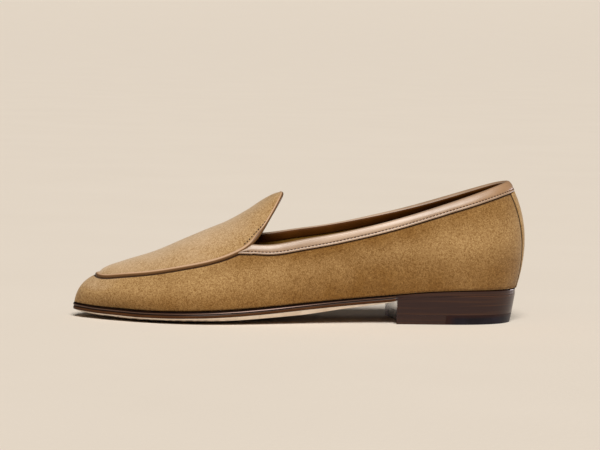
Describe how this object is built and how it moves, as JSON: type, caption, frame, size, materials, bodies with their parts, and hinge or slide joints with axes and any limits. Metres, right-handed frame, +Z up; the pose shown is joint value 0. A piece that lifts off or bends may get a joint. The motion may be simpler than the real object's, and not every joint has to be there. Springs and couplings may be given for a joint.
{
  "type": "suede loafer",
  "caption": "Slim suede slip-on loafer with an almond toe, piped apron and raised tongue, bound collar, thin leather sole and low stacked heel; left shoe, hollow and open at the collar.",
  "frame": {"origin": "middle of the shoe's box on the floor, under the waist of the sole", "axes": "+X towards the back of the heel, -Y towards the outer side of the foot, +Z up"},
  "size_m": [0.2678, 0.0793, 0.0839],
  "materials": {
    "suede": "napped, matt caramel tan",
    "smooth_leather": "smooth, soft sheen, light tan",
    "lining_leather": "smooth, low sheen, tan",
    "sole_leather": "dressed dark brown edge, waxed, over a natural bevel",
    "stacked_leather": "stacked layers, dark brown, waxed",
    "rubber": "near black, satin"
  },
  "bodies": {
    "root": {"upper": "suede", "back_strip": "suede", "apron_piping": "smooth_leather", "collar_binding": "smooth_leather", "insole": "lining_leather", "outsole": "sole_leather", "heel_block": "stacked_leather", "top_piece_leather": "sole_leather", "top_piece_rubber": "rubber"}
  },
  "joints": []
}
